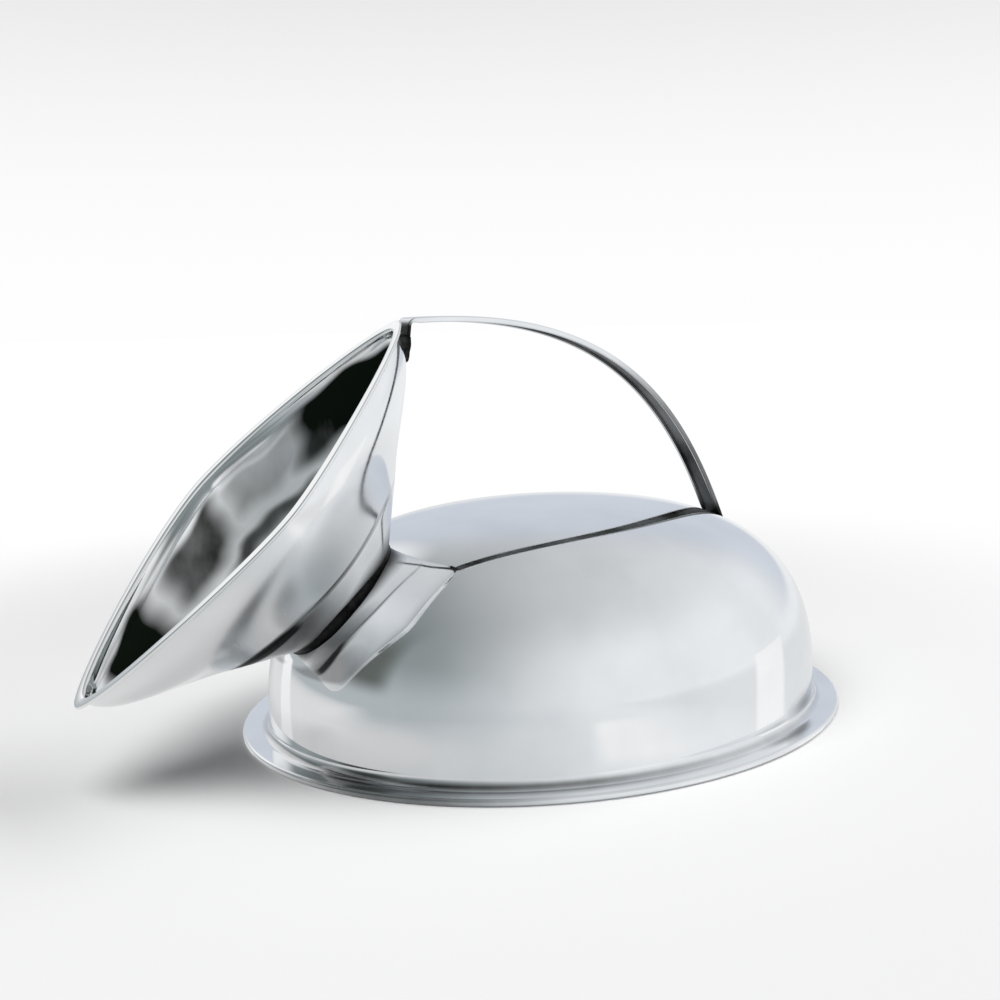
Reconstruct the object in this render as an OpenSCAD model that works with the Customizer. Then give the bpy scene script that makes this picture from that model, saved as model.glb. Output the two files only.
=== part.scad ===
// Wide-mouthed urine bottle in polished sheet steel: an oval domed body on a flat base,
// a slanted funnel on a short neck, and a strap handle from the funnel's lip to the dome.
// Origin at the middle of the base, long axis along X, funnel towards -X.

/* [Body] */
// Overall length of the base rim
rim_len = 186; // [170:1:204]
// Overall width of the base rim
rim_wid = 156; // [142:1:171]
// Width of the flat rim outside the wall
rim_w = 7.5; // [5:0.5:10]
// Height of the upright part of the wall
wall_h = 12; // [8:1:16]
// Radius of the shoulder between the wall and the crown
shoulder_r = 46; // [41:1:50]
// Rise of the crown above the shoulder
crown_rise = 4; // [2:0.5:8]
// Sheet thickness of the body
shell_t = 0.9; // [0.6:0.1:1.5]
// Radius of the bend from the wall to the rim
bend_r = 2.5; // [1.5:0.5:4]

/* [Base] */
// Thickness of the base plate
base_t = 0.8; // [0.6:0.1:1.5]

/* [Funnel] */
// Length of the mouth over its lip
mouth_len = 130; // [117:1:140]
// Width of the mouth over its lip
mouth_wid = 70; // [63:1:77]
// Width of the everted lip
lip_w = 2.4; // [1.5:0.1:3.5]
// Bow of the lip, from its tips to its sides
lip_bow = 2; // [0:0.5:4]
// Roundness of the mouth: 0 is a diamond, 1 is an ellipse
mouth_round = 0.5; // [0.4:0.05:1]
// Angle of the mouth's plane above the horizontal
tilt = 45; // [40:1:50]
// Distance from the dome to the mouth along the funnel's axis
reach = 32.4; // [30:0.2:37]
// Depth of the funnel down to the neck
funnel_depth = 25; // [22:0.5:26]
// Sheet thickness of the funnel and the neck, in the plane of their sections
funnel_t = 1.2; // [0.8:0.1:1.6]
// Thickness of the lip
lip_t = 0.9; // [0.6:0.1:1.4]

/* [Neck] */
// Distance from the end of the wall in to the neck's axis
neck_inset = 15.4; // [14:0.1:18]
// Length of the oval where neck and funnel meet
throat_len = 70; // [64:1:76]
// Width of the oval where neck and funnel meet
throat_wid = 37; // [34:1:40]
// Roundness of the oval where neck and funnel meet
throat_round = 0.72; // [0.6:0.02:1]
// Length of the oval where the neck meets the dome
neck_len = 38; // [34:1:41]
// Width of the oval where the neck meets the dome
neck_wid = 31.6; // [28:0.2:34]
// Offset of that oval from the funnel's axis
neck_shift = -1.7; // [-3:0.1:0]
// How far the neck reaches into the body
neck_in = 3; // [2:0.5:5]

/* [Handle] */
// Width of the strap
strap_w = 8; // [6:0.5:12]
// Depth of the strap over its turned edges
strap_d = 1.6; // [1.2:0.1:1.9]
// Sheet thickness of the strap
strap_t = 0.8; // [0.6:0.1:1]
// Height of the strap's start above the lip
strap_over = 1.3; // [0.4:0.1:2]
// Slope at which the strap leaves the lip
strap_climb = 2.4; // [0:0.1:8]
// Pull of the strap's arch forwards from the lip
arch_pull = 70; // [62:1:80]
// Distance from the end of the wall in to the strap's foot
foot_inset = 17.7; // [14:0.1:22]
// Slope at which the strap meets the dome
leg_fall = 65.7; // [60:0.1:72]
// Pull of the strap's arch back up from the foot
leg_pull = 38.8; // [34:0.2:46]
// Radius of the bend down to the tab behind the lip
tab_r = 2.2; // [2:0.1:3]
// Straight length of that tab
tab_len = 10; // [8:0.5:12]
// Length of the tab on the dome
foot_len = 5.5; // [4:0.5:9]

/* [Welds] */
// Leg of the fillet round the neck
neck_leg = 2.2; // [1:0.1:3]
// Leg of the fillet inside the strap's foot
foot_leg = 3; // [2:0.5:5]
// Thinnest filler between the strap's tab and the funnel
tab_gap = 0.4; // [0.2:0.1:1]

/* [Hidden] */

// Sides of the lofted sections, rings down the funnel's wall and smoothness of the round parts
sides = 60;
wall_rings = 10;
$fn = 120;
// Sides and facets of the rim's edge bead
rim_sides = 120;
bead_steps = 6;
// Rings and sides of the funnel's back that the tab's filler covers
weld_rings = 4;
weld_sides = 2;
// Steps of the strap's tab bend, of its arch and of the fillet at its foot
bend_steps = 8;
arch_steps = 32;
toe_steps = 8;
// Thickness of the foot fillet at its toe
toe_t = 0.2;
// Overshoot of cutting shapes, and of the cut in the strap's tight bend
over = 1;
bend_over = 0.25;
steel = "lightsteelblue";
bead = "dimgray";

// Body: half sizes of the wall, crown height and the arc of the crown
half_l = rim_len / 2 - rim_w;
half_w = rim_wid / 2 - rim_w;
body_h = wall_h + shoulder_r + crown_rise;
flat_l = half_l - shoulder_r;
crown_r = (flat_l ^ 2 + (shoulder_r + crown_rise) ^ 2 - shoulder_r ^ 2) / (2 * crown_rise);
crown_x = crown_r * flat_l / (crown_r - shoulder_r);

// Rim: the two sheets end inside the round edge bead
edge_r = (base_t + shell_t) / 2;
edge_l = rim_len / 2 - edge_r;
edge_w = rim_wid / 2 - edge_r;

// Funnel's axis: it leaves the dome at the seat and passes square through the mouth
seat_x = half_l - neck_inset;
seat = [-seat_x, 0, dome_z(seat_x, 0)];
throat_w = reach - funnel_depth;
wall_len = mouth_len - 2 * lip_w;
wall_wid = mouth_wid - 2 * lip_w;
// Search range along the axis for the dome's surface
search = 30;

// Height of the body's outer surface over a point of the base
function dome_z(x, y) =
    let (r = half_l * norm([x / half_l, y / half_w]))
    r <= crown_x ? body_h - crown_r + sqrt(crown_r ^ 2 - r ^ 2)
    : r < half_l ? wall_h + sqrt(shoulder_r ^ 2 - (r - flat_l) ^ 2)
    : 0;

// Distance from p along d to the body's surface, halving the stretch from lo inside to hi outside
function to_dome(p, d, lo, hi, steps = 30) =
    let (mid = (lo + hi) / 2, q = p + mid * d)
    steps == 0 ? mid
    : q.z < dome_z(q.x, q.y) ? to_dome(p, d, mid, hi, steps - 1)
    : to_dome(p, d, lo, mid, steps - 1);

// Point given in the funnel's own frame: u up the mouth, v across it, w out along the axis
function placed(u, v, w) =
    seat + [u * cos(tilt) - w * sin(tilt), v, u * sin(tilt) + w * cos(tilt)];
axis_dir = [-sin(tilt), 0, cos(tilt)];

// Outline coordinate that blends a diamond (0) with an ellipse (1)
function blend(c, round) = (1 - round) * c * abs(c) + round * c;

// Section of the funnel at height w: half length, half width, roundness and bow
function section(w, hl, hw, round, bow) = [
    for (i = [0:sides - 1])
        let (a = 360 * i / sides, c = blend(cos(a), round))
        placed(hl * c, hw * blend(sin(a), round), w + bow * (1 - c ^ 2))
];

// Ring of the funnel's wall: s runs from the neck (0) to the mouth (1), and the wall leaves
// the mouth along the axis and flares straight from the neck
function wall_ring(s, grow) =
    let (f = s + s * s * (1 - s))
    section(
        throat_w + funnel_depth * s,
        (throat_len + (wall_len - throat_len) * f) / 2 + grow,
        (throat_wid + (wall_wid - throat_wid) * f) / 2 + grow,
        throat_round + (mouth_round - throat_round) * s,
        lip_bow * s
    );

// Ring of the lip, so far outside the wall and above the mouth's plane
function mouth_ring(grow, rise) =
    section(reach + rise, wall_len / 2 + grow, wall_wid / 2 + grow, mouth_round, lip_bow);

// Ring of the neck on the dome's surface, lifted along the axis
function dome_ring(grow, lift) = [
    for (i = [0:sides - 1])
        let (
            a = 360 * i / sides,
            u = (neck_len / 2 + grow) * cos(a) + neck_shift,
            v = (neck_wid / 2 + grow) * sin(a)
        )
        placed(u, v, to_dome(placed(u, v, 0), axis_dir, -search, search) + lift)
];

// Ring round the sheets' edge, so far outside it
function rim_ring(out, z) = [
    for (i = [0:rim_sides - 1])
        let (a = 360 * i / rim_sides)
        [(edge_l + out) * cos(a), (edge_w + out) * sin(a), z]
];

// Strap: the plane of its tab lies just behind the funnel's bulging back
back_x = max([for (i = [0:wall_rings]) wall_ring(i / wall_rings, 0)[0].x]) + tab_gap;
lip_tip = mouth_ring(lip_w, 0)[0];
strap_top = lip_tip.z + strap_over;
tab_c = [back_x + tab_r, strap_top - tab_r * cos(strap_climb)];
// The strap is straight over the fillet at its foot, and runs on so that the dome trims it
foot_x = half_l - foot_inset;
foot = [foot_x, 0, dome_z(foot_x, 0)];
leg_dir = [cos(leg_fall), 0, -sin(leg_fall)];
leg_top = foot - (foot_leg + strap_t) * leg_dir;
leg_end = foot + strap_w * leg_dir;
// Corners of the curve from the tab's bend to the straight foot, each as x and z
strap_start = tab_c + tab_r * [-sin(strap_climb), cos(strap_climb)];
arch_pole = strap_start + arch_pull * [cos(strap_climb), sin(strap_climb)];
leg_pole = [leg_top.x - leg_pull * leg_dir.x, leg_top.z - leg_pull * leg_dir.z];
strap_end = [leg_top.x, leg_top.z];

// Station of the strap at t along its curve: x, z and outward angle
function arch_station(t) =
    let (
        a = (arch_pole - strap_start) * (1 - t) ^ 2,
        b = (leg_pole - arch_pole) * 2 * t * (1 - t),
        c = (strap_end - leg_pole) * t ^ 2,
        run = a + b + c,
        p = strap_start * (1 - t) ^ 3 + arch_pole * 3 * t * (1 - t) ^ 2
            + leg_pole * 3 * t ^ 2 * (1 - t) + strap_end * t ^ 3
    )
    [p.x, p.y, 90 + atan2(run.y, run.x)];

// Stations from the tab's lower end, round its bend and along the arch to the foot
strap = concat(
    [[back_x, tab_c.y - tab_len, 180]],
    [
        for (i = [0:bend_steps - 1])
            let (a = 180 - (90 - strap_climb) * i / bend_steps)
            [tab_c.x + tab_r * cos(a), tab_c.y + tab_r * sin(a), a]
    ],
    [for (i = [0:arch_steps]) arch_station(i / arch_steps)],
    [[leg_end.x, leg_end.z, 90 - leg_fall]]
);

// Outline of the strap, at a depth below its outer face
function strap_line(depth) =
    [for (p = strap) [p[0] - depth * cos(p[2]), p[1] - depth * sin(p[2])]];

// Two triangles of a four-cornered facet
function quad(a, b, c, d) = [[a, b, c], [a, c, d]];

// Shell through rings of points; the last ring joins the first
module ring_loft(rings) {
    n = len(rings[0]);
    m = len(rings);
    polyhedron(
        [for (r = rings) each r],
        [
            for (i = [0:m - 1], j = [0:n - 1])
                let (k = (j + 1) % n, a = i * n, b = (i + 1) % m * n)
                each quad(a + j, a + k, b + k, b + j)
        ]
    );
}

// Solid between two grids of points, front and back, with the same rows and columns
module slab(front, back) {
    m = len(front);
    n = len(front[0]);
    b = m * n;
    end = (m - 1) * n;
    polyhedron(
        [for (g = [front, back], row = g) each row],
        concat(
            [
                for (i = [0:m - 2], j = [0:n - 2])
                    let (f = i * n + j)
                    each concat(
                        quad(f, f + 1, f + n + 1, f + n),
                        quad(b + f, b + f + n, b + f + n + 1, b + f + 1)
                    )
            ],
            [
                for (j = [0:n - 2])
                    each concat(
                        quad(j, b + j, b + j + 1, j + 1),
                        quad(end + j + 1, b + end + j + 1, b + end + j, end + j)
                    )
            ],
            [
                for (i = [0:m - 2])
                    let (f = i * n, l = f + n - 1)
                    each concat(
                        quad(f + n, b + f + n, b + f, f),
                        quad(l, b + l, b + l + n, l + n)
                    )
            ]
        )
    );
}

// Half outline of the dome: upright wall, shoulder arc and crown arc
module dome_outline(bottom) {
    translate([0, bottom]) square([half_l, wall_h - bottom]);
    intersection() {
        translate([0, wall_h - over]) square([crown_x, body_h]);
        translate([0, body_h - crown_r]) circle(crown_r);
    }
    intersection() {
        translate([crown_x - over, wall_h - over]) square([half_l, body_h]);
        translate([flat_l, wall_h]) circle(shoulder_r);
    }
}

// Solid of the dome, smaller by the inset all round
module dome_form(inset, bottom = 0)
    scale([half_l - inset, half_w - inset, body_h - inset])
        scale([1 / half_l, 1 / half_l, 1 / body_h])
            rotate_extrude() dome_outline(bottom);

// Flat oval sheet that ends at the rim's edge bead
module rim_sheet(thickness)
    linear_extrude(thickness) polygon([for (p = rim_ring(0, 0)) [p.x, p.y]]);

// Straight oval plug along the funnel's axis, as wide as the neck in its hole
module neck_plug()
    translate(seat) rotate([0, -tilt, 0]) translate([neck_shift, 0, -search / 2])
        linear_extrude(search)
            polygon([
                for (i = [0:sides - 1])
                    [neck_len / 2 * cos(360 * i / sides), neck_wid / 2 * sin(360 * i / sides)]
            ]);

// Band of the strap between two depths below its outer face, so much wide
module strap_band(from, to, width)
    rotate([90, 0, 0])
        linear_extrude(width, center = true)
            polygon(concat(strap_line(from), [for (i = [len(strap) - 1:-1:0]) strap_line(to)[i]]));

// Pressed dome with its out-turned rim
module body_shell() {
    color(steel)
        difference() {
            union() {
                dome_form(0, base_t);
                translate([0, 0, base_t]) rim_sheet(shell_t);
                rim_bend();
            }
            dome_form(shell_t);
            neck_plug();
        }
}

// Hollow bend between the wall and the rim
module rim_bend()
    translate([0, 0, base_t + shell_t]) scale([1, half_w / half_l, 1])
        rotate_extrude()
            difference() {
                translate([half_l - shell_t / 2, -shell_t / 2])
                    square([bend_r + shell_t / 2, bend_r + shell_t / 2]);
                translate([half_l + bend_r, bend_r]) circle(bend_r);
            }

// Flat bottom under the rim
module base_plate() {
    color(steel) rim_sheet(base_t);
}

// Half-round bead over the two sheets' edge
module rim_weld() {
    color(steel)
        ring_loft([
            for (i = [0:bead_steps])
                let (a = 180 * i / bead_steps - 90)
                rim_ring(edge_r * cos(a), edge_r * (1 + sin(a)))
        ]);
}

// Flared collar from inside the body to the funnel
module neck() {
    color(steel)
        ring_loft([
            dome_ring(0, -neck_in), dome_ring(0, 0), wall_ring(0, 0),
            wall_ring(0, -funnel_t), dome_ring(-funnel_t, 0), dome_ring(-funnel_t, -neck_in)
        ]);
}

// Fillet between the neck's wall and the dome
module neck_weld() {
    root = dome_ring(0, 0);
    top = wall_ring(0, 0);
    up = [for (i = [0:sides - 1]) root[i] + neck_leg * (top[i] - root[i]) / norm(top[i] - root[i])];
    color(bead) ring_loft([root, dome_ring(neck_leg, 0), up]);
}

// Slanted mouth with its everted lip
module funnel() {
    outer = [for (i = [0:wall_rings]) wall_ring(i / wall_rings, 0)];
    inner = [for (i = [wall_rings:-1:0]) wall_ring(i / wall_rings, -funnel_t)];
    color(steel)
        ring_loft(concat(
            outer,
            [mouth_ring(lip_w, 0), mouth_ring(lip_w, lip_t), mouth_ring(-funnel_t, lip_t)],
            inner
        ));
}

// Channelled strap with a tab at each end
module handle() {
    color(steel)
        difference() {
            union() {
                difference() {
                    strap_band(0, strap_d, strap_w);
                    strap_band(strap_t, strap_d + bend_over, strap_w - 2 * strap_t);
                }
                intersection() {
                    dome_form(-strap_t);
                    translate([foot.x - strap_t, -strap_w / 2, foot.z - search])
                        cube([strap_t + foot_len, strap_w, 2 * search]);
                }
            }
            dome_form(0);
        }
}

// Filler between the funnel's back and the strap's tab
module handle_top_weld() {
    rows = [
        for (i = [wall_rings - weld_rings:wall_rings - 1])
            let (ring = wall_ring(i / wall_rings, 0))
            [for (j = [-weld_sides:weld_sides]) ring[(j + sides) % sides]]
    ];
    color(bead) slab(rows, [for (row = rows) [for (p = row) [back_x, p.y, p.z]]]);
}

// Fillet on the dome between the turned edges of the strap's foot
module handle_foot_weld() {
    web = foot - strap_t * [sin(leg_fall), 0, cos(leg_fall)];
    root = web - to_dome(web, -leg_dir, -strap_w, strap_w) * leg_dir;
    half = strap_w / 2 - strap_t;
    seat_rows = [
        for (i = [0:toe_steps])
            [
                for (j = [-1:0.5:1])
                    let (x = root.x - foot_leg * i / toe_steps)
                    [x, j * half, dome_z(x, j * half)]
            ]
    ];
    top_rows = [
        for (i = [0:toe_steps])
            [
                for (p = seat_rows[i])
                    p - (toe_t + (foot_leg - toe_t) * (1 - i / toe_steps) ^ 2) * leg_dir
            ]
    ];
    color(bead) slab(seat_rows, top_rows);
}

body_shell();
base_plate();
rim_weld();
neck();
neck_weld();
funnel();
handle();
handle_top_weld();
handle_foot_weld();
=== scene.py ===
import bpy
import numpy as np
from mathutils import Matrix, Vector


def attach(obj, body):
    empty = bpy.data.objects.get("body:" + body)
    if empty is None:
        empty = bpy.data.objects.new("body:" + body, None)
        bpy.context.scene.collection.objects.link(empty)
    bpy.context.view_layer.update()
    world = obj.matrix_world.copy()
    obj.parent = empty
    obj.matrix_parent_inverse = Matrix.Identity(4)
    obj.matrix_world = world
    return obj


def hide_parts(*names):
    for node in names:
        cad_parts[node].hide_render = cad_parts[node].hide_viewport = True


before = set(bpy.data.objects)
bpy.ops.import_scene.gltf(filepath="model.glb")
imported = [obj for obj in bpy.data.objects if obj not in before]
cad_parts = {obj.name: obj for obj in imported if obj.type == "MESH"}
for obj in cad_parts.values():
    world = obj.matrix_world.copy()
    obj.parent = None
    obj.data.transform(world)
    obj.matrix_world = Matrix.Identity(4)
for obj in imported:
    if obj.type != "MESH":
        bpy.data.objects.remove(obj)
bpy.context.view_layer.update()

MM = 0.001
TURN = 2 * np.pi
CREASE = np.radians(35)

# Body, in millimetres: half sizes of the wall, height, foot of the dome's curve and its squareness
WALL_A, WALL_B = 85.5, 70.5
DOME_H, DOME_FOOT, DOME_POWER = 61.5, 3.0, 2.81
SHEET, PLATE, RIM_W = 0.9, 0.8, 7.5
RIM_TOP = PLATE + SHEET
BEND_R = 2.5
EDGE_R = RIM_TOP / 2
EDGE_OUT = RIM_W - EDGE_R

# Funnel: its axis leaves the dome at the seat, square to a mouth that leans 45 degrees
SEAT = np.array([-70.1, 0.0, 46.3])
LEAN = np.radians(45)
UP_MOUTH = np.array([np.cos(LEAN), 0.0, np.sin(LEAN)])
ACROSS = np.array([0.0, 1.0, 0.0])
OUTWARD = np.array([-np.sin(LEAN), 0.0, np.cos(LEAN)])
REACH, DEPTH = 32.4, 25.0
MOUTH_L, MOUTH_W, MOUTH_ROUND, MOUTH_BOW = 62.6, 32.6, 0.5, 2.0
THROAT_L, THROAT_W, THROAT_ROUND = 35.0, 18.5, 0.72
FUNNEL_T, LIP_W, LIP_T = 1.2, 2.4, 0.9
LIP_FILLET, LIP_BROW = 0.8, 0.9
WALL_RIPPLE, SEAM = 0.12, 0.2

# Neck's oval on the dome, and its weld: the longest leg and the least and most share of it
NECK_L, NECK_W, NECK_SHIFT, NECK_IN = 19.0, 15.8, -1.7, 3.0
NECK_LEG, LEG_LEAST, LEG_MOST = 2.2, 0.3, 0.95

# Strap handle
STRAP_W, STRAP_D, STRAP_T = 8.0, 1.6, 0.8
STRAP_CORNER, STRAP_EDGE = 0.55, 0.3
STRAP_OVER, CLIMB = 1.3, np.radians(2.4)
ARCH_PULL, LEG_PULL, LEG_FALL = 70.0, 38.8, np.radians(65.7)
FALL = np.array([np.cos(LEG_FALL), -np.sin(LEG_FALL)])
FOOT_X, FOOT_LEN, FOOT_LEG = 67.8, 5.5, 3.0
KNEE_CLEAR, KNEE_RUN = 0.45, 0.75
TAB_R, TAB_LEN, TAB_GAP = 2.2, 10.0, 0.4

# Strap's ends: where the turned edges rise and run out, how the upper tab widens, the rounded toe
EDGE_RISE, EDGE_STOP, EDGE_FALL = 5.0, 4.0, 3.5
TAB_SHARE, TAB_NECK, TAB_WIDEN = 0.5, 3.0, 12.0
TOE_R, TOE_SHARE, TIP_SHARE = 1.2, 0.86, 0.02

# Filler behind the lip: its span up the funnel's wall, half width in degrees at its tail and above,
# where the tail thickens, its least thickness and how far its flanks bulge
FILLER_LOW, FILLER_HIGH = 0.68, 0.95
FILLER_TAIL, FILLER_BODY, FILLER_GROWS = 7.0, 12.0, 0.74
FILLER_SKIN, FILLER_BULGE = 0.05, 1.04

# Painted shade and painted dark reflections, and other marks, as (angle round the piece, spread in
# degrees, strength)
RIM_BEND_SHADE, RIM_BEND_SHADE_LEAST = (222, 60, 0.65), 0.25
RIM_FLAT_REFLECTION = (207, 26, 0.8)
RIM_REFLECTION_SPOTS = ((307, 13, 0.7), -2), ((292, 13, 0.6), 12)
BEAD_DARK_REFLECTION = (214, 34, 0.75)
NECK_UNDER_SHADE, NECK_FOOT_SHADE = (230, 60, 0.8), 0.95
NECK_WEDGE, NECK_SEAM = (216, 48, 1.5), (262, 95, 0.8)
FUNNEL_WEDGE, FUNNEL_SEAM = (214, 46, 1.5), (262, 95, 0.7)
WALL_HAZE, LIP_HAZE = (235, 100, 1.0), (85, 120, 0.5)
WELD_FULL = (252, 78, 1.0), (108, 78, 0.6)

# Painted reflection of the neck's dark underside on the dome below the neck: strength, the first
# ring, the last one where it reaches furthest, the angle of that from the lowest point, and where
# it ends to either side
MIRROR_DARK, MIRROR_FROM, MIRROR_TO, MIRROR_PEAK, MIRROR_SIDE = 0.48, 18, 56, 35, 42

# Painted dark reflections inside the funnel: angle from the lip's top in degrees, then the share of
# the way from neck to mouth, each from and to, and how dark; the near side has this share of it
REFLECTION_PANELS = (
    (6, 56, 0.4, 0.9, 1.12), (50, 88, 0.5, 0.82, 0.5), (20, 84, 0.84, 0.89, 0.6),
    (93, 127, 0.43, 0.85, 0.9), (134, 164, 0.42, 0.88, 1.12), (54, 113, 0.2, 0.36, 0.9),
    (168, 178, 0.3, 0.8, 0.7),
)
NEAR_REFLECTION = 0.2

# Steel colours, each between two tones, the second a lighter copy of the first that paints the
# funnel and neck brighter, a painted highlight; then the near-black colours of painted shade and of
# the painted dark reflections inside the funnel
STEEL = (0.815, 0.83, 0.845, 1.0), (0.89, 0.9, 0.91, 1.0)
LIT_STEEL = (0.86, 0.868, 0.875, 1.0), (0.92, 0.925, 0.93, 1.0)
PAINTED_DARK = (0.02, 0.021, 0.02, 1.0)
DARK_REFLECTION = (0.006, 0.009, 0.006, 1.0)

# Room that the metal mirrors: bearings from +Y towards +X and heights, in degrees, and colours
BRIGHT_SIDE, BRIGHT_WALL = 112, (0.9, 0.916, 0.93, 1.0)
DIM_LOW, DIM_HIGH = (0.49, 0.525, 0.54, 1.0), (0.305, 0.34, 0.345, 1.0)
FAR_SIDE, FAR_WALL = 38, (0.64, 0.68, 0.753, 1.0)
WINDOW_SIDE, WINDOW_UP = -10, 32
DOOR_SIDE, DOORWAY = -86, (0.13, 0.145, 0.135, 1.0)
CEILING_SHADE = 0.22

# Room for everything else: its even level, and the camera's backdrop and how fast that darkens
# upwards
ROOM_LEVEL, BACKDROP, BACKDROP_FALL = 0.02, 0.99, 3.26

# Floor, in metres: half size, drop below the base, and where its matt part fades into white
FLOOR_HALF, FLOOR_DROP = 6.0, 0.0002
FLOOR_TONE, FLOOR_FADE = 0.92, (0.15, 0.4)

# Floor as the metal sees it, where it glows as painted reflections: patches by their soft edges
# along X and Y, how far out they reach, and their tones; the edges of the front card; and the two
# strips by start, bearing and half angle
LEFT_EDGE = (-0.06, -0.1)
APRON_SIDE, APRON_REACH, APRON_TONE = (-0.1, -0.05), (0.22, 0.13), 0.64
LEFT_SIDE, LEFT_REACH, LEFT_TONE = (-0.05, 0.03), (0.55, 0.15), 0.8
DUSK_EDGE, DUSK_REACH, DUSK = (0.0, 0.08), (0.7, 0.08), 0.14
CARD_LEFT, CARD_RIGHT = (-0.034, -0.022), (0.022, -0.008)
CARD_NEAR, CARD_FAR = (-0.2, -0.15), (-0.07, -0.095)
STRIPS = ((0.006, -0.061), 105, 10.5), ((-0.077, -0.021), -24.5, 6.5)
STRIP_CORE = 0.7
LIT_REACH, LIT_SHARE = (0.1, 0.3), 0.25

# Lamps, in metres and watts: bearing, height in degrees, power
LAMP_DISTANCE, LAMP_SIZE, LAMP_AIM = 1.0, 0.7, 0.04
LAMPS = {"right_light": (100, 42, 6.4), "left_light": (-105, 62, 7.3)}

# Camera, in millimetres and degrees
CAM_BEARING, CAM_DIST, CAM_HEIGHT = 33.94, 370.0, 118.4
CAM_YAW, CAM_PITCH, CAM_ROLL = -2.11, 8.66, -1.03
CAM_LENS, CAM_SENSOR, CAM_NEAR = 45.25, 36.0, 0.01


def lerp(a, b, t):
    """Straight blend from a (t = 0) to b (t = 1)."""
    return a + (b - a) * t


def smooth(t):
    """Ease from 0 to 1 with level ends: 3t^2 - 2t^3 on t held to 0..1."""
    t = np.clip(t, 0, 1)
    return t * t * (3 - 2 * t)


def bell(t):
    """Bell curve, e to the power -t^2."""
    return np.exp(-t ** 2)


def curve(a, b, c, q):
    """Curve from a to c, drawn towards b: (1-q)^2 a + 2q(1-q) b + q^2 c."""
    return (1 - q) ** 2 * a + 2 * q * (1 - q) * b + q * q * c


def hump(turn, centre, spread, height):
    """Eased rise to a height at an angle, and back to 0 this many degrees either side of it."""
    off = np.abs((np.degrees(turn) - centre + 180) % 360 - 180)
    return height * smooth(1 - off / spread)


def darkest(*layers):
    """Strongest of several marks, point by point."""
    top = layers[0]
    for layer in layers[1:]:
        top = np.maximum(top, layer)
    return top


def arc(cx, cy, r, start, end, count):
    """Points of a circle's arc about (cx, cy), angles in degrees."""
    a = np.radians(np.linspace(start, end, count))
    return np.stack([cx + r * np.cos(a), cy + r * np.sin(a)], -1)


def all_round(sides):
    """Angles of a ring's points, evenly round it."""
    return np.linspace(0, TURN, sides, endpoint=False)


def ring_quads(rings, sides, closed):
    """Facets between neighbouring rings of points; every ring closes on itself, and the
    last ring meets the first where closed."""
    i = np.arange(rings if closed else rings - 1)[:, None]
    j = np.arange(sides)[None, :]
    k = (j + 1) % sides
    a, b = i * sides, (i + 1) % rings * sides
    return np.stack(np.broadcast_arrays(a + j, a + k, b + k, b + j), -1).reshape(-1, 4)


def make_piece(name, rings, finish, node, closed=True, marks=None, inside=None):
    """Mesh piece from rings (rows, sides, 3) in millimetres, with its facets turned outwards
    by the sign of the enclosed volume, and edges sharper than the crease angle kept sharp.
    inside gives the row from which a second finish covers the piece."""
    rows, sides = rings.shape[:2]
    points = rings.reshape(-1, 3) * MM
    quads = ring_quads(rows, sides, closed)
    p = [points[quads[:, i]] for i in range(4)]
    volume = np.einsum("ij,ij->", p[0], np.cross(p[1], p[2]))
    volume += np.einsum("ij,ij->", p[0], np.cross(p[2], p[3]))
    if volume < 0:
        quads = quads[:, ::-1]
    mesh = bpy.data.meshes.new(name)
    mesh.vertices.add(len(points))
    mesh.vertices.foreach_set("co", points.astype(np.float32).ravel())
    mesh.loops.add(quads.size)
    mesh.loops.foreach_set("vertex_index", np.ascontiguousarray(quads, np.int32).ravel())
    mesh.polygons.add(len(quads))
    mesh.polygons.foreach_set("loop_start", np.arange(len(quads), dtype=np.int32) * 4)
    mesh.polygons.foreach_set("use_smooth", np.ones(len(quads), bool))
    mesh.update(calc_edges=True)
    for key, values in (marks or {}).items():
        values = np.broadcast_to(values, (rows, sides)).astype(np.float32)
        mesh.attributes.new(key, "FLOAT", "POINT").data.foreach_set("value", values.ravel())
    mesh.validate()
    mesh.set_sharp_from_angle(angle=CREASE)
    mesh.materials.append(finish)
    if inside:
        mesh.materials.append(inside[1])
        row = np.arange(len(quads)) // sides
        mesh.polygons.foreach_set("material_index", (row >= inside[0]).astype(np.int32))
    piece = bpy.data.objects.new(name, mesh)
    bpy.context.scene.collection.objects.link(piece)
    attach(piece, "root")
    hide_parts(node)


# Shapes

def dome_profile():
    """Dome's half profile, rho^p + ((z - foot) / (height - foot))^p = 1, as tables of rho and z
    over the share t of its length from the crown (0) to the bend at the rim (1)."""
    a = np.linspace(0, np.pi / 2, 20001)
    rho = np.sin(a) ** (2 / DOME_POWER)
    z = DOME_FOOT + (DOME_H - DOME_FOOT) * np.cos(a) ** (2 / DOME_POWER)
    keep = z >= RIM_TOP + BEND_R
    rho, z = rho[keep], z[keep]
    step = np.hypot(np.diff(rho) * (WALL_A + WALL_B) / 2, np.diff(z))
    length = np.concatenate([[0], np.cumsum(step)])
    return length / length[-1], rho, z


DOME_T, DOME_RHO, DOME_Z = dome_profile()


def on_dome(p, q, inset=0.0):
    """Point of the dome over the point (p, q) of a unit disc: the disc's radius is the share of
    the profile's length, and its angle runs round the oval. The inset gives the inner skin."""
    t = np.hypot(p, q)
    turn = np.arctan2(q, p)
    rho = np.interp(t, DOME_T, DOME_RHO)
    x = (WALL_A - inset) * rho * np.cos(turn)
    y = (WALL_B - inset) * rho * np.sin(turn)
    z = np.interp(t, DOME_T, DOME_Z) * (DOME_H - inset) / DOME_H
    return np.stack([x, y, z], -1)


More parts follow.
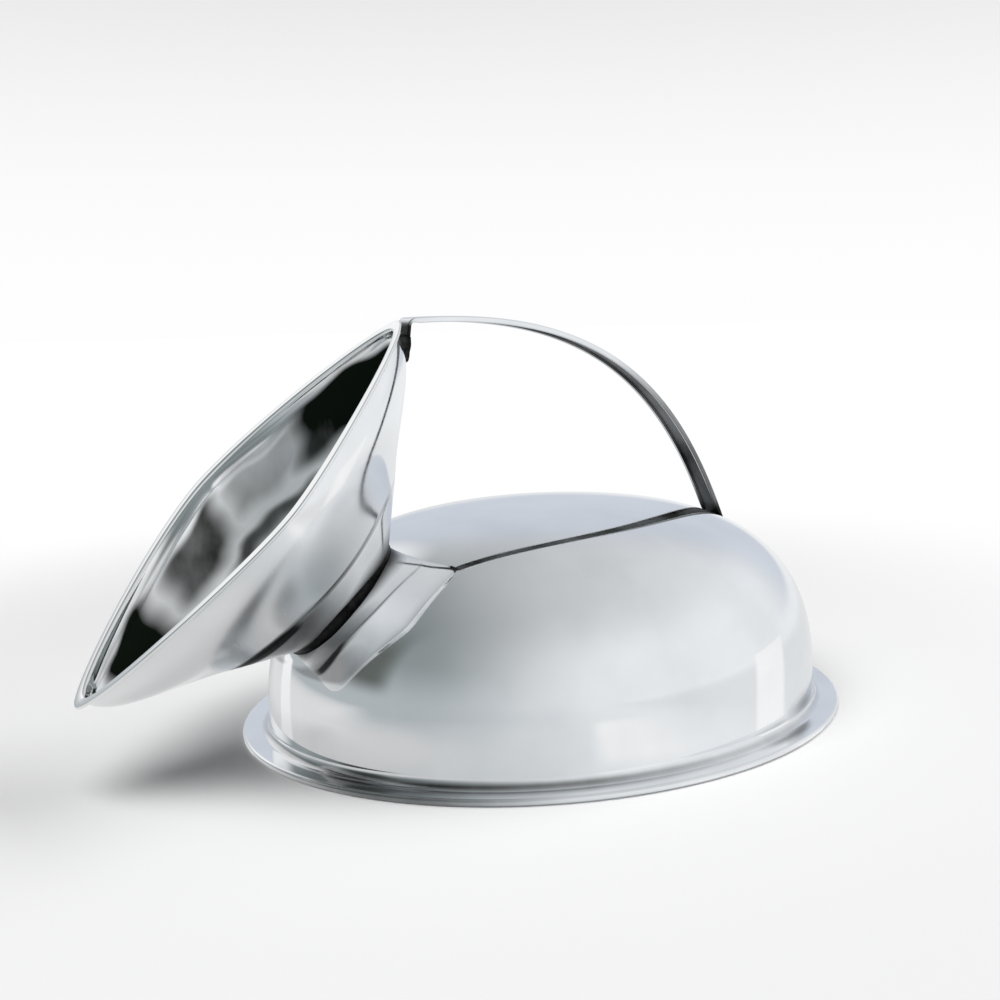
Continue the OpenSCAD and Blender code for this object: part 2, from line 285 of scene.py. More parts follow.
def outside_dome(points):
    """Positive outside the dome, negative inside: the profile's formula less 1."""
    x, y, z = np.moveaxis(points, -1, 0)
    rho = np.hypot(x / WALL_A, y / WALL_B)
    lift = np.clip((z - DOME_FOOT) / (DOME_H - DOME_FOOT), 0, None)
    return rho ** DOME_POWER + lift ** DOME_POWER - 1


def dome_height(x, y):
    """Height of the dome over a point of the base, from the profile's formula."""
    rho = np.clip(np.hypot(x / WALL_A, y / WALL_B), 0, 1)
    return DOME_FOOT + (DOME_H - DOME_FOOT) * (1 - rho ** DOME_POWER) ** (1 / DOME_POWER)


def in_funnel(u, v, w):
    """Points given in the funnel's frame: u up the mouth, v across it, w out along its axis."""
    u, v, w = np.broadcast_arrays(u, v, w)
    return SEAT + u[..., None] * UP_MOUTH + v[..., None] * ACROSS + w[..., None] * OUTWARD


def drop_to_dome(u, v):
    """Height w along the funnel's axis at which (u, v) meets the dome, by halving."""
    low, high = np.full(np.shape(u), -30.0), np.full(np.shape(u), 30.0)
    for _ in range(44):
        mid = (low + high) / 2
        out = outside_dome(in_funnel(u, v, mid)) > 0
        low, high = np.where(out, low, mid), np.where(out, mid, high)
    return (low + high) / 2


def neck_ring(turn, grow=0.0, lift=0.0):
    """Neck's oval, seen along the funnel's axis, laid on the dome: so far outside the neck and
    lifted along the axis."""
    u, v = (NECK_L + grow) * np.cos(turn) + NECK_SHIFT, (NECK_W + grow) * np.sin(turn)
    return in_funnel(u, v, drop_to_dome(u, v) + lift)


def rounded(c, share):
    """Outline coordinate between a diamond, c|c|, and an ellipse, c."""
    return (1 - share) * c * np.abs(c) + share * c


def funnel_ring(turn, half_l, half_w, share, w, bow):
    """Section of the funnel: rounded diamond of these half sizes, bowed along its length."""
    c, s = rounded(np.cos(turn), share), rounded(np.sin(turn), share)
    return in_funnel(half_l * c, half_w * s, w + bow * (1 - c * c))


def wall_ring(turn, s, grow=0.0):
    """Funnel's wall at s, from the neck (0) to the mouth (1): the half sizes follow
    s + s^2 (1 - s), a straight flare that ends along the axis, with slow ripples from the press."""
    f = s + s * s * (1 - s)
    swell = np.sin(3 * turn + 5 * s) + 0.6 * np.sin(7 * turn - 6 * s + 1)
    ripple = WALL_RIPPLE * np.sin(np.pi * s) * swell
    return funnel_ring(
        turn,
        lerp(THROAT_L, MOUTH_L, f) + grow + ripple,
        lerp(THROAT_W, MOUTH_W, f) + grow + ripple,
        lerp(THROAT_ROUND, MOUTH_ROUND, s),
        REACH - DEPTH + DEPTH * s,
        MOUTH_BOW * s,
    )


def lip_ring(turn, grow, rise):
    """Mouth's outline so far outside the wall and above the mouth's plane."""
    return funnel_ring(turn, MOUTH_L + grow, MOUTH_W + grow, MOUTH_ROUND, REACH + rise, MOUTH_BOW)


def round_body(turn, profile):
    """Profile of (out, up) carried round the body's oval: out from its wall, up from the base."""
    out, up = profile[:, 0][:, None], profile[:, 1][:, None]
    x, y = (WALL_A + out) * np.cos(turn), (WALL_B + out) * np.sin(turn)
    return np.stack(np.broadcast_arrays(x, y, up), -1)


def mirrored_neck_dark(turn, ring):
    """Band of painted dark reflection on the dome below the neck's weld, where the dome mirrors the
    neck's underside, by angle round the neck and ring out from it: it ends at a reach that is
    longest at an angle to either side of the lowest point."""
    low = np.abs(np.degrees(turn) - 180)
    off = low - MIRROR_PEAK
    reach = MIRROR_TO - np.where(off < 0, -off, 0.55 * off)
    band = smooth((ring - MIRROR_FROM) / 12) * (1 - smooth((ring - reach + 6) / 8))
    return MIRROR_DARK * (1 - smooth((low - MIRROR_SIDE) / 18)) * band


def rim_painted_shade(turn, ring):
    """Painted shade and dark reflections on the rim, by angle and by ring out from the end of the
    dome: a line of painted shade in the bend, a painted dark reflection on the flat and two painted
    dark reflection spots, each a hump in angle times a bell or band of rings."""
    line = bell((ring - 5) / 3.0) * (RIM_BEND_SHADE_LEAST + hump(turn, *RIM_BEND_SHADE))
    flat = smooth((ring + 1) / 4) * (1 - smooth((ring - 18) / 3))
    spots = [hump(turn, *mark) * bell((ring - at) / 3.0) for mark, at in RIM_REFLECTION_SPOTS]
    return darkest(line, hump(turn, *RIM_FLAT_REFLECTION) * flat, *spots)


def body_rings(sides=360, rows=150, inner_rows=36):
    """Pressed shell as rings from the neck's hole to the rim's edge and back inside. On the unit
    disc the rings blend from the hole's outline to the rim, (1 - k) hole + k circle; then come the
    quarter-round bend, the flat rim, and the same dome inset by the sheet."""
    turn = all_round(sides)
    hole = neck_ring(turn)
    x, y = hole[:, 0] / WALL_A, hole[:, 1] / WALL_B
    t, side = np.interp(np.hypot(x, y), DOME_RHO, DOME_T), np.arctan2(y, x)
    hole_p, hole_q = t * np.cos(side), t * np.sin(side)

    def dome(start, end, count, inset):
        k = np.linspace(start, end, count)[:, None]
        return on_dome(lerp(hole_p, np.cos(turn), k), lerp(hole_q, np.sin(turn), k), inset)

    foot = np.concatenate([
        arc(BEND_R, BEND_R, BEND_R, 180, 270, 12)[1:],
        np.stack([np.linspace(BEND_R, EDGE_OUT, 10), np.zeros(10)], -1)[1:],
        np.stack([np.linspace(EDGE_OUT, BEND_R, 5), np.full(5, -SHEET)], -1),
        [[-SHEET, -SHEET]],
    ])
    skirt = round_body(turn, foot + [0, RIM_TOP])
    rings = np.concatenate([dome(0, 1, rows, 0.0), skirt, dome(1, 0, inner_rows, SHEET)])
    ring = np.arange(len(rings))[:, None]
    # Marks: painted shade and dark reflections on the rim, and on the dome below the neck the
    # painted reflection of the neck's dark underside
    return rings, {"painted_shade_and_reflection": darkest(rim_painted_shade(turn, ring - rows), mirrored_neck_dark(turn, ring))}


def rim_rings(sides=480, steps=14):
    """Half-round bead carried round the sheets' edge, with a painted dark reflection on its
    front-left.
    """
    turn = all_round(sides)
    bead = arc(EDGE_OUT, EDGE_R, EDGE_R, -90, 90, steps)
    return round_body(turn, bead), {"painted_shade_and_reflection": hump(turn, *BEAD_DARK_REFLECTION)[None]}


def neck_rings(sides=360, rows=26):
    """Flared collar: from its rim inside the body to the dome, then out to the funnel's throat by
    0.75 q + 0.25 q^2, with its top edge rounded into the seam, and back on the inside."""
    turn = all_round(sides)

    def skin(grow, count):
        foot, top = neck_ring(turn, grow), wall_ring(turn, 0.0, grow)
        q = np.linspace(0, 1, count)[:, None, None]
        return lerp(foot, top, 0.75 * q + 0.25 * q * q)

    q = np.linspace(0, 1, rows)[:, None]
    tuck = smooth((q - 0.94) / 0.06)[..., None]
    rings = np.concatenate([
        neck_ring(turn, 0.0, -NECK_IN)[None],
        lerp(skin(0.0, rows), skin(-SEAM, rows), tuck),
        skin(-FUNNEL_T, 12)[::-1],
        neck_ring(turn, -FUNNEL_T, -NECK_IN)[None],
    ])
    # Painted shade on the collar: darker towards the weld at its foot, on its underside, in a wedge
    # by the crease and along the seam at its top
    painted_shade_and_reflection = np.zeros((len(rings), sides))
    painted_shade_and_reflection[1:rows + 1] = darkest(
        NECK_FOOT_SHADE * (1 - smooth((q - 0.05) / 0.55)),
        hump(turn, *NECK_UNDER_SHADE),
        hump(turn, *NECK_WEDGE) * smooth((q - 0.68) / 0.2),
        hump(turn, *NECK_SEAM) * smooth((q - 0.92) / 0.05),
    )
    return rings, {"painted_shade_and_reflection": painted_shade_and_reflection}


def neck_weld_rings(sides=720, steps=9):
    """Hollow fillet round the neck: the curve (1-q)^2 A + 2q(1-q) J + q^2 B from the dome to the
    neck's wall, with small ripples along the seam, closed through its root J."""
    turn = all_round(sides)
    root, top = neck_ring(turn), wall_ring(turn, 0.0)
    rise = top - root
    full = darkest(*[hump(turn, *mark) for mark in WELD_FULL])
    leg = NECK_LEG * lerp(LEG_LEAST, LEG_MOST, full)
    leg = leg + 0.04 * np.sin(9 * turn + 1) + 0.02 * np.sin(23 * turn)
    wall = root + leg[:, None] * rise / np.linalg.norm(rise, axis=-1, keepdims=True)
    dome = neck_ring(turn, leg)
    q = np.linspace(0, 1, steps)[:, None, None]
    face = curve(dome, lerp(root, (dome + wall) / 2, 0.25), wall, q)
    return np.concatenate([face, root[None]])


def inner_dark_reflection(turn, s):
    """Panels of painted dark reflection, each the product of four eased edges in angle and height,
    the darkest one showing; the outlines wander by slow sine waves, and the near side has less of
    it."""
    angle = np.degrees(turn) % 360
    near = angle > 180
    t = np.where(near, 360 - angle, angle) + 3 * np.sin(9 * s + 2 * near) + 1.2 * np.sin(21 * s + 1)
    t = t + np.where(near, 9 * np.sin(4 * s + 2), 0)
    h = s + 0.025 * np.sin(np.radians(7 * t)) + 0.015 * np.sin(np.radians(17 * t + 40))
    painted_funnel_dark = np.zeros(np.broadcast(t, s).shape)
    for t0, t1, h0, h1, dark in REFLECTION_PANELS:
        panel = smooth((t - t0) / 16 + 0.5) * smooth((t1 - t) / 16 + 0.5)
        panel = panel * smooth((h - h0) / 0.18 + 0.5) * smooth((h1 - h) / 0.08 + 0.5)
        painted_funnel_dark = np.maximum(painted_funnel_dark, dark * panel)
    return np.where(near, NEAR_REFLECTION, 1.0) * painted_funnel_dark


def funnel_rings(sides=360, rows=64):
    """Slanted mouth: the outer wall with its foot rounded into the seam, the everted lip as a
    profile of (out, up) carried round the mouth, and the inner wall back down. Also gives the
    row where the inside starts."""
    turn = all_round(sides)
    edge = LIP_T / 2
    s = np.linspace(0, 1 - LIP_FILLET / DEPTH, rows)[:, None]
    outer = wall_ring(turn, s, -SEAM * (1 - smooth(s / 0.02)))
    lip = np.concatenate([
        arc(LIP_FILLET, -LIP_FILLET, LIP_FILLET, 180, 90, 7),
        arc(LIP_W - edge, edge, edge, -90, 90, 11),
        arc(LIP_BROW - FUNNEL_T, LIP_T - LIP_BROW, LIP_BROW, 90, 180, 8),
    ])
    mouth = lip_ring(turn, lip[:, 0][:, None], lip[:, 1][:, None])
    s = np.linspace(1, 0, rows)[1:, None]
    inner = wall_ring(turn, s, -FUNNEL_T)
    up = np.linspace(0, 1, rows)[:, None]
    # Painted shade on the outer wall by the crease at the neck: a wedge on the underside and a line
    # along the seam; on the inside, painted dark reflections
    wedge = darkest(hump(turn, *FUNNEL_WEDGE) * (1 - smooth(up / 0.08)),
                    hump(turn, *FUNNEL_SEAM) * (1 - smooth(up / 0.03)))
    painted_funnel_dark = [wedge, np.zeros((len(mouth), sides)), inner_dark_reflection(turn, s)]
    haze = [
        np.tile(hump(turn, *WALL_HAZE), (rows, 1)),
        np.tile(hump(turn, *LIP_HAZE), (len(mouth), 1)),
        np.zeros((len(inner), sides)),
    ]
    marks = {"painted_funnel_dark": np.concatenate(painted_funnel_dark), "haze": np.concatenate(haze)}
    return np.concatenate([outer, mouth, inner]), marks, len(outer) + len(mouth)


def strap_path():
    """Strap's outer line as stations (x, z): up the tab's plane, round the tab's bend, along the
    cubic curve (1-t)^3 A + 3t(1-t)^2 B + 3t^2(1-t) C + t^3 D to the leg, round the knee and out on
    the dome."""
    s = np.linspace(0, 1, 200)[:, None]
    back_x = wall_ring(np.zeros(1), s)[..., 0].max() + TAB_GAP
    top = lip_ring(np.zeros(1), LIP_W, 0.0)[0, 2] + STRAP_OVER
    hub = np.array([back_x + TAB_R, top - TAB_R * np.cos(CLIMB)])
    tab = np.stack([np.full(24, back_x), np.linspace(hub[1] - TAB_LEN, hub[1], 24)], -1)[:-1]
    bend = arc(hub[0], hub[1], TAB_R, 180, 90 + np.degrees(CLIMB), 14)[:-1]
    start = hub + TAB_R * np.array([-np.sin(CLIMB), np.cos(CLIMB)])
    rise = start + ARCH_PULL * np.array([np.cos(CLIMB), np.sin(CLIMB)])
    foot = np.array([FOOT_X, dome_height(FOOT_X, 0.0)])
    leg_top = foot - (FOOT_LEG + STRAP_T) * FALL
    bow = leg_top - LEG_PULL * FALL
    t = np.linspace(0, 1, 160)[:, None]
    u = 1 - t
    arch = u ** 3 * start + 3 * t * u ** 2 * rise + 3 * t * t * u * bow + t ** 3 * leg_top
    x = np.linspace(FOOT_X, FOOT_X + FOOT_LEN, 300)
    z = dome_height(x, 0.0)
    slope = np.gradient(z, x)
    lift = np.stack([-slope, np.ones_like(slope)], -1) / np.hypot(slope, 1)[:, None]
    tread = np.stack([x, z], -1) + STRAP_T * lift
    leg = leg_top + np.linspace(0, 1, 40)[1:, None] * (foot - leg_top)
    leg = leg[(leg - tread[0]) @ lift[0] > KNEE_CLEAR]
    run = tread[np.searchsorted(x, leg[-1, 0] + KNEE_RUN):][::6]
    q = np.linspace(0, 1, 8)[1:-1, None]
    knee = curve(leg[-1], leg[-1] + KNEE_CLEAR * FALL, run[0], q)
    return tab, bend, arch, leg, knee, run


def strap_section():
    """Channel's closed outline as (across, depth): a flat face with rounded corners and two
    turned edges with rounded ends."""
    half, r, e = STRAP_W / 2, STRAP_CORNER, STRAP_EDGE
    inner = half - STRAP_T
    right = np.concatenate([
        np.stack([np.linspace(0, half - r, 6), np.zeros(6)], -1)[:-1],
        arc(half - r, r, r, -90, 0, 6),
        arc(half - e, STRAP_D - e, e, 0, 90, 4),
        arc(inner + e, STRAP_D - e, e, 90, 180, 4),
        arc(inner - e, STRAP_T + e, e, 0, -90, 4),
        np.stack([np.linspace(inner - e, 0, 5), np.full(5, STRAP_T)], -1)[1:],
    ])
    left = right[1:-1][::-1] * [-1, 1]
    return np.concatenate([right, left])


def close_ends(loops):
    """Closes a stack of loops (rows, points, 3) by gathering its first and last row on a point."""
    first = loops[:1].mean(1, keepdims=True) + np.zeros_like(loops[:1])
    last = loops[-1:].mean(1, keepdims=True) + np.zeros_like(loops[:1])
    return np.concatenate([first, loops, last])


def strap_rings():
    """Channel carried along the strap's line: its turned edges shrink away at both tabs, the upper
    tab ends in a half round, the foot follows the dome across, and both ends close on a point."""
    parts = strap_path()
    line = np.concatenate(parts)
    way = np.gradient(line, axis=0)
    way /= np.linalg.norm(way, axis=1, keepdims=True)
    outward = np.stack([-way[:, 1], way[:, 0]], -1)
    run = np.concatenate([[0], np.cumsum(np.linalg.norm(np.diff(line, axis=0), axis=1))])
    knee_at = run[sum(len(part) for part in parts[:4]) - 1]
    depth = smooth((run - TAB_LEN) / EDGE_RISE) - smooth((run - knee_at + EDGE_STOP) / EDGE_FALL)
    half = STRAP_W / 2
    tip = np.clip(1 - run / half, 0, 1)
    width = np.sqrt(1 - tip ** 2) * lerp(TAB_SHARE, 1.0, smooth((run - TAB_NECK) / TAB_WIDEN))
    toe = np.clip((run - run[-1] + TOE_R) / TOE_R, 0, 1)
    width = width * lerp(1, TOE_SHARE, 1 - np.sqrt(1 - toe ** 2))
    across, down = strap_section().T[:, None]
    y = across * np.maximum(width, TIP_SHARE)[:, None]
    d = np.where(down > STRAP_T, STRAP_T + (down - STRAP_T) * depth[:, None], down)
    x = line[:, 0][:, None] - d * outward[:, 0][:, None]
    z = line[:, 1][:, None] - d * outward[:, 1][:, None]
    sag = dome_height(x, np.zeros_like(x)) - dome_height(x, y)
    z = z - sag * smooth((run - knee_at) / 1.5)[:, None]
    share = ((run - TAB_LEN) / (knee_at - TAB_LEN))[:, None]
    recess = (down > STRAP_T - 0.01) & (np.abs(across) < half - STRAP_T + 0.01)
    flank = across < 0.3 - half
    # Painted shade and dark reflection on the strap: over the upper tab behind the lip, towards the
    # foot, in the channel's recess and on the near flank down the leg
    painted_shade_and_reflection = darkest(
        1 - smooth((run - 9.5) / 3.0)[:, None],
        smooth((share - 0.88) / 0.1),
        recess * 0.88,
        flank * 0.75 * smooth((share - 0.45) / 0.3),
    )
    painted_shade_and_reflection = np.concatenate([painted_shade_and_reflection[:1], painted_shade_and_reflection, painted_shade_and_reflection[-1:]])
    return close_ends(np.stack([x, y, z], -1)), {"painted_shade_and_reflection": painted_shade_and_reflection}


def top_weld_rings(rows=26, across=17):
    """Filler behind the lip: in each row the funnel's back from side to side, then back along the
    tab's plane, with bulging flanks."""
    s = np.linspace(FILLER_LOW, FILLER_HIGH, rows)[:, None]
    wide = np.radians(lerp(FILLER_TAIL, FILLER_BODY, smooth((s - FILLER_LOW) / 0.2)))
    front = wall_ring(wide * np.linspace(-1, 1, across), s)
    tab_x = strap_path()[0][0, 0]
    thin = front[..., 0] + FILLER_SKIN
    back = front.copy()
    back[..., 0] = lerp(thin, np.maximum(thin, tab_x), 1 - smooth((FILLER_GROWS - s) / 0.06))
    back[..., 1] *= FILLER_BULGE
    return close_ends(np.concatenate([front, back[:, ::-1]], 1))


def foot_weld_rings(rows=15, steps=9):
    """Fillet between the strap's foot and the dome: a hollow curve from the dome to the strap's
    under face through their corner, carried across between the turned edges."""
    under = np.array([-np.sin(LEG_FALL), -np.cos(LEG_FALL)])
    foot = np.array([FOOT_X, dome_height(FOOT_X, 0.0)])
    line = foot + STRAP_T * under + np.linspace(-6, 6, 4001)[:, None] * FALL
    root = line[np.argmin(np.abs(line[:, 1] - dome_height(line[:, 0], 0.0)))]
    j = np.linspace(-1, 1, rows)
    y = j * (STRAP_W / 2 - STRAP_T)
    toe_x = root[0] - FOOT_LEG * (1 - 0.25 * j ** 2)
    toe = np.stack([toe_x, y, dome_height(toe_x, y)], -1)[:, None]
    heel = np.stack([np.full(rows, root[0]), y, dome_height(root[0], y) - 0.1], -1)[:, None]
    climb = FOOT_LEG * (1 - 0.3 * j ** 2)
    wall = heel - np.array([FALL[0], 0, FALL[1]]) * climb[:, None, None]
    q = np.linspace(0, 1, steps)[None, :, None]
    face = curve(toe, lerp(heel, (toe + wall) / 2, 0.15), wall, q)
    return close_ends(np.concatenate([face, heel], 1))


# Finishes

class Shade:
    """A socket of a node tree. Arithmetic on it adds Math nodes, and node() adds any other node."""

    def __init__(self, tree, socket=None):
        self.tree, self.socket = tree, socket

    def node(self, kind, settings=None, sockets=None, out=0):
        """A node of this kind: its settings first, then a value or a link for each socket."""
        made = self.tree.nodes.new("ShaderNode" + kind)
        for key, value in (settings or {}).items():
            setattr(made, key, value)
        for key, value in (sockets or {}).items():
            if isinstance(value, Shade):
                self.tree.links.new(value.socket, made.inputs[key])
            else:
                made.inputs[key].default_value = value
        return Shade(self.tree, made.outputs[out] if len(made.outputs) else None)

    def math(self, operation, a, b):
        return self.node("Math", {"operation": operation}, {0: a, 1: b})

    def __add__(self, other):
        return self.math("ADD", self, other)

    def __radd__(self, other):
        return self.math("ADD", other, self)

    def __sub__(self, other):
        return self.math("SUBTRACT", self, other)

    def __rsub__(self, other):
        return self.math("SUBTRACT", other, self)

    def __mul__(self, other):
        return self.math("MULTIPLY", self, other)

    def __rmul__(self, other):
        return self.math("MULTIPLY", other, self)

    def clamp(self):
        return self.node("Clamp", {}, {"Value": self})

    def ramp(self, low, high, start=0.0, end=1.0):
        """Eased change from start to end while this value goes from low to high."""
        return self.node("MapRange", {"interpolation_type": "SMOOTHSTEP"}, {
            "Value": self, "From Min": low, "From Max": high, "To Min": start, "To Max": end})

    def tint(self, low, high):
        """Colour between two, by this value as the share."""
        return self.node("Mix", {"data_type": "RGBA"}, {0: self, 6: low, 7: high}, out=2)

    def part(self, axis):
        """One coordinate of this vector."""
        return self.node("SeparateXYZ", {}, {0: self}, out=axis)

    def unit(self):
        """This vector at length 1."""
        return self.node("VectorMath", {"operation": "NORMALIZE"}, {0: self})

    def toward(self, bearing, height=0.0):
        """How far this direction points to a bearing (from +Y towards +X) and a height in degrees:
        the dot product."""
        aim = tuple(float(v) for v in heading(bearing, height))
        return self.node("VectorMath", {"operation": "DOT_PRODUCT"}, {0: self, 1: aim}, out="Value")


def heading(bearing, height):
    """Unit vector at a bearing (from +Y towards +X) and a height, in degrees."""
    a, e = np.radians(bearing), np.radians(height)
    return np.sin(a) * np.cos(e), np.cos(a) * np.cos(e), np.sin(e)


def grey(value, blue=1.0):
    """Even colour, or one with a little more blue."""
    return (value, value, value * blue, 1.0)


def open_finish(name):
    """New material with an empty node tree, and its coordinates."""
    finish = bpy.data.materials.new(name)
    finish.use_nodes = True
    finish.node_tree.nodes.clear()
    shade = Shade(finish.node_tree)
    return finish, shade, shade.node("TexCoord", out="Object")


def metal_surface(shade, base, dull, relief):
    """Metal with this colour, roughness and bump, as the material's surface."""
    steel = shade.node("BsdfPrincipled", {}, {
        "Base Color": base, "Metallic": 1.0, "Roughness": dull, "Normal": relief})
    shade.node("OutputMaterial", {}, {"Surface": steel})


def bumps(shade, strength, depth, height):
    """Relief of this depth in metres."""
    return shade.node("Bump", {}, {"Strength": strength, "Distance": depth, "Height": height})


def grain(shade, place, scale, detail=2.0, roughness=0.5):
    """Cloudy noise at this many features a metre."""
    return shade.node("TexNoise", {}, {
        "Vector": place, "Scale": scale, "Detail": detail, "Roughness": roughness})


def stretched(shade, place, scale):
    """Coordinates scaled unevenly, which draws noise out into streaks."""
    return shade.node("Mapping", {"vector_type": "POINT"}, {"Vector": place, "Scale": scale})


def painted(shade, name):
    """Value of a mark that the piece carries."""
    return shade.node("Attribute", {"attribute_name": name}, out="Fac")


def polished_steel(name, tones, mark, gloss=0.045, wave=0.00025, lines=(1, 1, 1), scale=PAINTED_DARK,
                   matt=0.3, mottle=0.5, haze=0.0):
    """Hand-polished sheet: slow waves left by the buffing wheel, faint smears that take off the
    gloss, hairlines, and painted shade and dark reflections where the piece carries the mark,
    towards the colour given as scale."""
    finish, shade, place = open_finish(name)
    cloud = grain(shade, place, 38.0, 3.0)
    smear = grain(shade, stretched(shade, place, (60, 60, 14)), 2.2, 4.0, 0.6)
    hair = grain(shade, stretched(shade, place, lines), 900.0, 1.0)
    slow = grain(shade, place, 26.0, 1.0)
    # The mark paints shade and dark reflections: it takes the colour towards the scale colour and
    # adds roughness
    dark_share = painted(shade, mark)
    patch = (dark_share + mottle * (cloud + 0.4 * smear - 0.7)).clamp() * dark_share.ramp(0.0, 0.1)
    base = patch.tint(cloud.ramp(0.3, 0.7).tint(*tones), scale)
    dull = gloss + 0.03 * smear.ramp(0.45, 0.75) + 0.02 * hair.ramp(0.55, 0.8) + matt * patch
    if haze:
        dull = dull + haze * painted(shade, "haze")
    metal_surface(shade, base, dull, bumps(shade, 1.0, wave, slow + 0.006 * hair))
    return finish


def near_black_weld(name, dark, light, rough):
    """Weld metal coloured near black, mottled between two dark tones, with grainy relief."""
    finish, shade, place = open_finish(name)
    mottle = grain(shade, place, 300.0, 4.0, 0.6)
    grit = grain(shade, place, 1600.0, 3.0)
    base = mottle.ramp(0.35, 0.75).tint(grey(dark), grey(light))
    relief = bumps(shade, rough, 0.00008, mottle + 0.3 * grit)
    metal_surface(shade, base, 0.2 + 0.2 * grit, relief)
    return finish


def brushed_plate(name):
    """Satin base sheet with straight brush lines and a few scuffs."""
    finish, shade, place = open_finish(name)
    brush = grain(shade, stretched(shade, place, (20, 1400, 20)), 1.0, 3.0, 0.7)
    scuff = grain(shade, place, 55.0, 5.0, 0.65)
    base = (0.6 * brush + 0.4 * scuff).tint(grey(0.42, 1.03), grey(0.68, 1.03))
    dull = 0.24 + 0.16 * scuff + 0.06 * brush
    metal_surface(shade, base, dull, bumps(shade, 0.4, 0.00006, brush))
    return finish


def room_tone(way):
    """Room that the metal mirrors: a bright side, a grey side that darkens upwards with a dark
    doorway in it, a bluish far wall and a white window beyond the mouth."""
    height = way.part("Z")
    dim = height.ramp(0.0, 0.45).tint(DIM_LOW, DIM_HIGH)
    tone = way.toward(BRIGHT_SIDE).ramp(-0.75, 0.6).tint(dim, BRIGHT_WALL)
    far = way.toward(FAR_SIDE).ramp(0.5, 0.95) * height.ramp(0.0, 0.1)
    tone = far.tint(tone, FAR_WALL)
    tone = height.ramp(0.3, 0.95, 0.0, CEILING_SHADE).tint(tone, grey(0.0))
    tone = way.toward(WINDOW_SIDE, WINDOW_UP).ramp(0.91, 0.98).tint(tone, grey(1.0))
    aside = way.toward(DOOR_SIDE + 90)
    door = (aside * aside).ramp(0.07, 0.0) * way.toward(DOOR_SIDE).ramp(0.2, 0.5)
    door = door * height.ramp(0.03, 0.22) * height.ramp(0.85, 0.45)
    return door.tint(tone, DOORWAY)


def floor_strip(shade, place, start, bearing, wide):
    """Glowing white card, a painted reflection in the floor, that widens along a bearing from a
    point under the object, soft at its edges.
    """
    off = shade.node("VectorMath", {"operation": "SUBTRACT"}, {0: place, 1: (*start, 0.0)})
    edge, core = np.cos(np.radians([wide, STRIP_CORE * wide]))
    return off.unit().toward(bearing).ramp(float(edge), float(core))


def studio_floor(name):
    """White sweep: matt where the object's shadow falls, fading into the even white around it. To
    the metal's reflections it glows with the room's tone, with darker and paler patches and three
    glowing white cards round the object, all painted reflections."""
    finish, shade, place = open_finish(name)
    x, y = place.part("X"), place.part("Y")
    far = shade.node("VectorMath", {"operation": "LENGTH"}, {0: place}, out="Value")

    def blend(share, first, second):
        return shade.node("MixShader", {}, {0: share, 1: first, 2: second})

    def glow(colour):
        return shade.node("Emission", {}, {"Color": colour, "Strength": 1.0})

    matt = shade.node("BsdfDiffuse", {}, {"Color": grey(FLOOR_TONE)})
    shown = blend(far.ramp(*FLOOR_FADE), matt, glow(grey(1.0)))
    apron = x.ramp(*LEFT_EDGE) * y.ramp(*APRON_SIDE) * far.ramp(*APRON_REACH)
    left = x.ramp(*LEFT_EDGE) * y.ramp(*LEFT_SIDE) * far.ramp(*LEFT_REACH)
    dusk = x.ramp(*DUSK_EDGE) * far.ramp(*DUSK_REACH, 0.0, DUSK)
    tone = dusk.tint(room_tone(place.unit()), grey(0.0))
    tone = left.tint(apron.tint(tone, grey(APRON_TONE)), grey(LEFT_TONE))
    cards = x.ramp(*CARD_LEFT) * x.ramp(*CARD_RIGHT) * y.ramp(*CARD_NEAR) * y.ramp(*CARD_FAR)
    for strip in STRIPS:
        cards = cards + floor_strip(shade, place, *strip)
    tone = cards.clamp().tint(tone, grey(1.0))
    mirrored = blend(far.ramp(*LIT_REACH, LIT_SHARE, 0.0), glow(tone), shown)
    glossy = shade.node("LightPath", out="Is Glossy Ray")
    shade.node("OutputMaterial", {}, {"Surface": blend(glossy, shown, mirrored)})
    return finish


# Each piece's marks paint shade and dark reflections into its finish
body_finish = polished_steel(
    "polished_body", STEEL, "painted_shade_and_reflection", wave=0.00012, lines=(0.08, 0.08, 1), matt=0.1)
rim_finish = polished_steel("polished_edge", STEEL, "painted_shade_and_reflection", gloss=0.09)
neck_finish = polished_steel("polished_neck", LIT_STEEL, "painted_shade_and_reflection", gloss=0.12, lines=(1, 0.1, 1))
funnel_finish = polished_steel(
    "polished_funnel", LIT_STEEL, "painted_funnel_dark", gloss=0.06, wave=0.0003, lines=(1, 0.1, 0.1), haze=0.18)
inner_finish = polished_steel(
    "inside_dark_reflection", LIT_STEEL, "painted_funnel_dark", wave=0.0003, lines=(1, 0.1, 0.1), scale=DARK_REFLECTION, matt=0.08,
    mottle=0.6)
strap_finish = polished_steel("polished_strap", STEEL, "painted_shade_and_reflection", gloss=0.07, lines=(0.05, 1, 0.05))
near_black_finish = near_black_weld("near_black_weld_metal", 0.010, 0.05, 0.4)
bead_finish = near_black_weld("smooth_bead", 0.006, 0.02, 0.1)
plate_finish = brushed_plate("brushed_base")

# Pieces

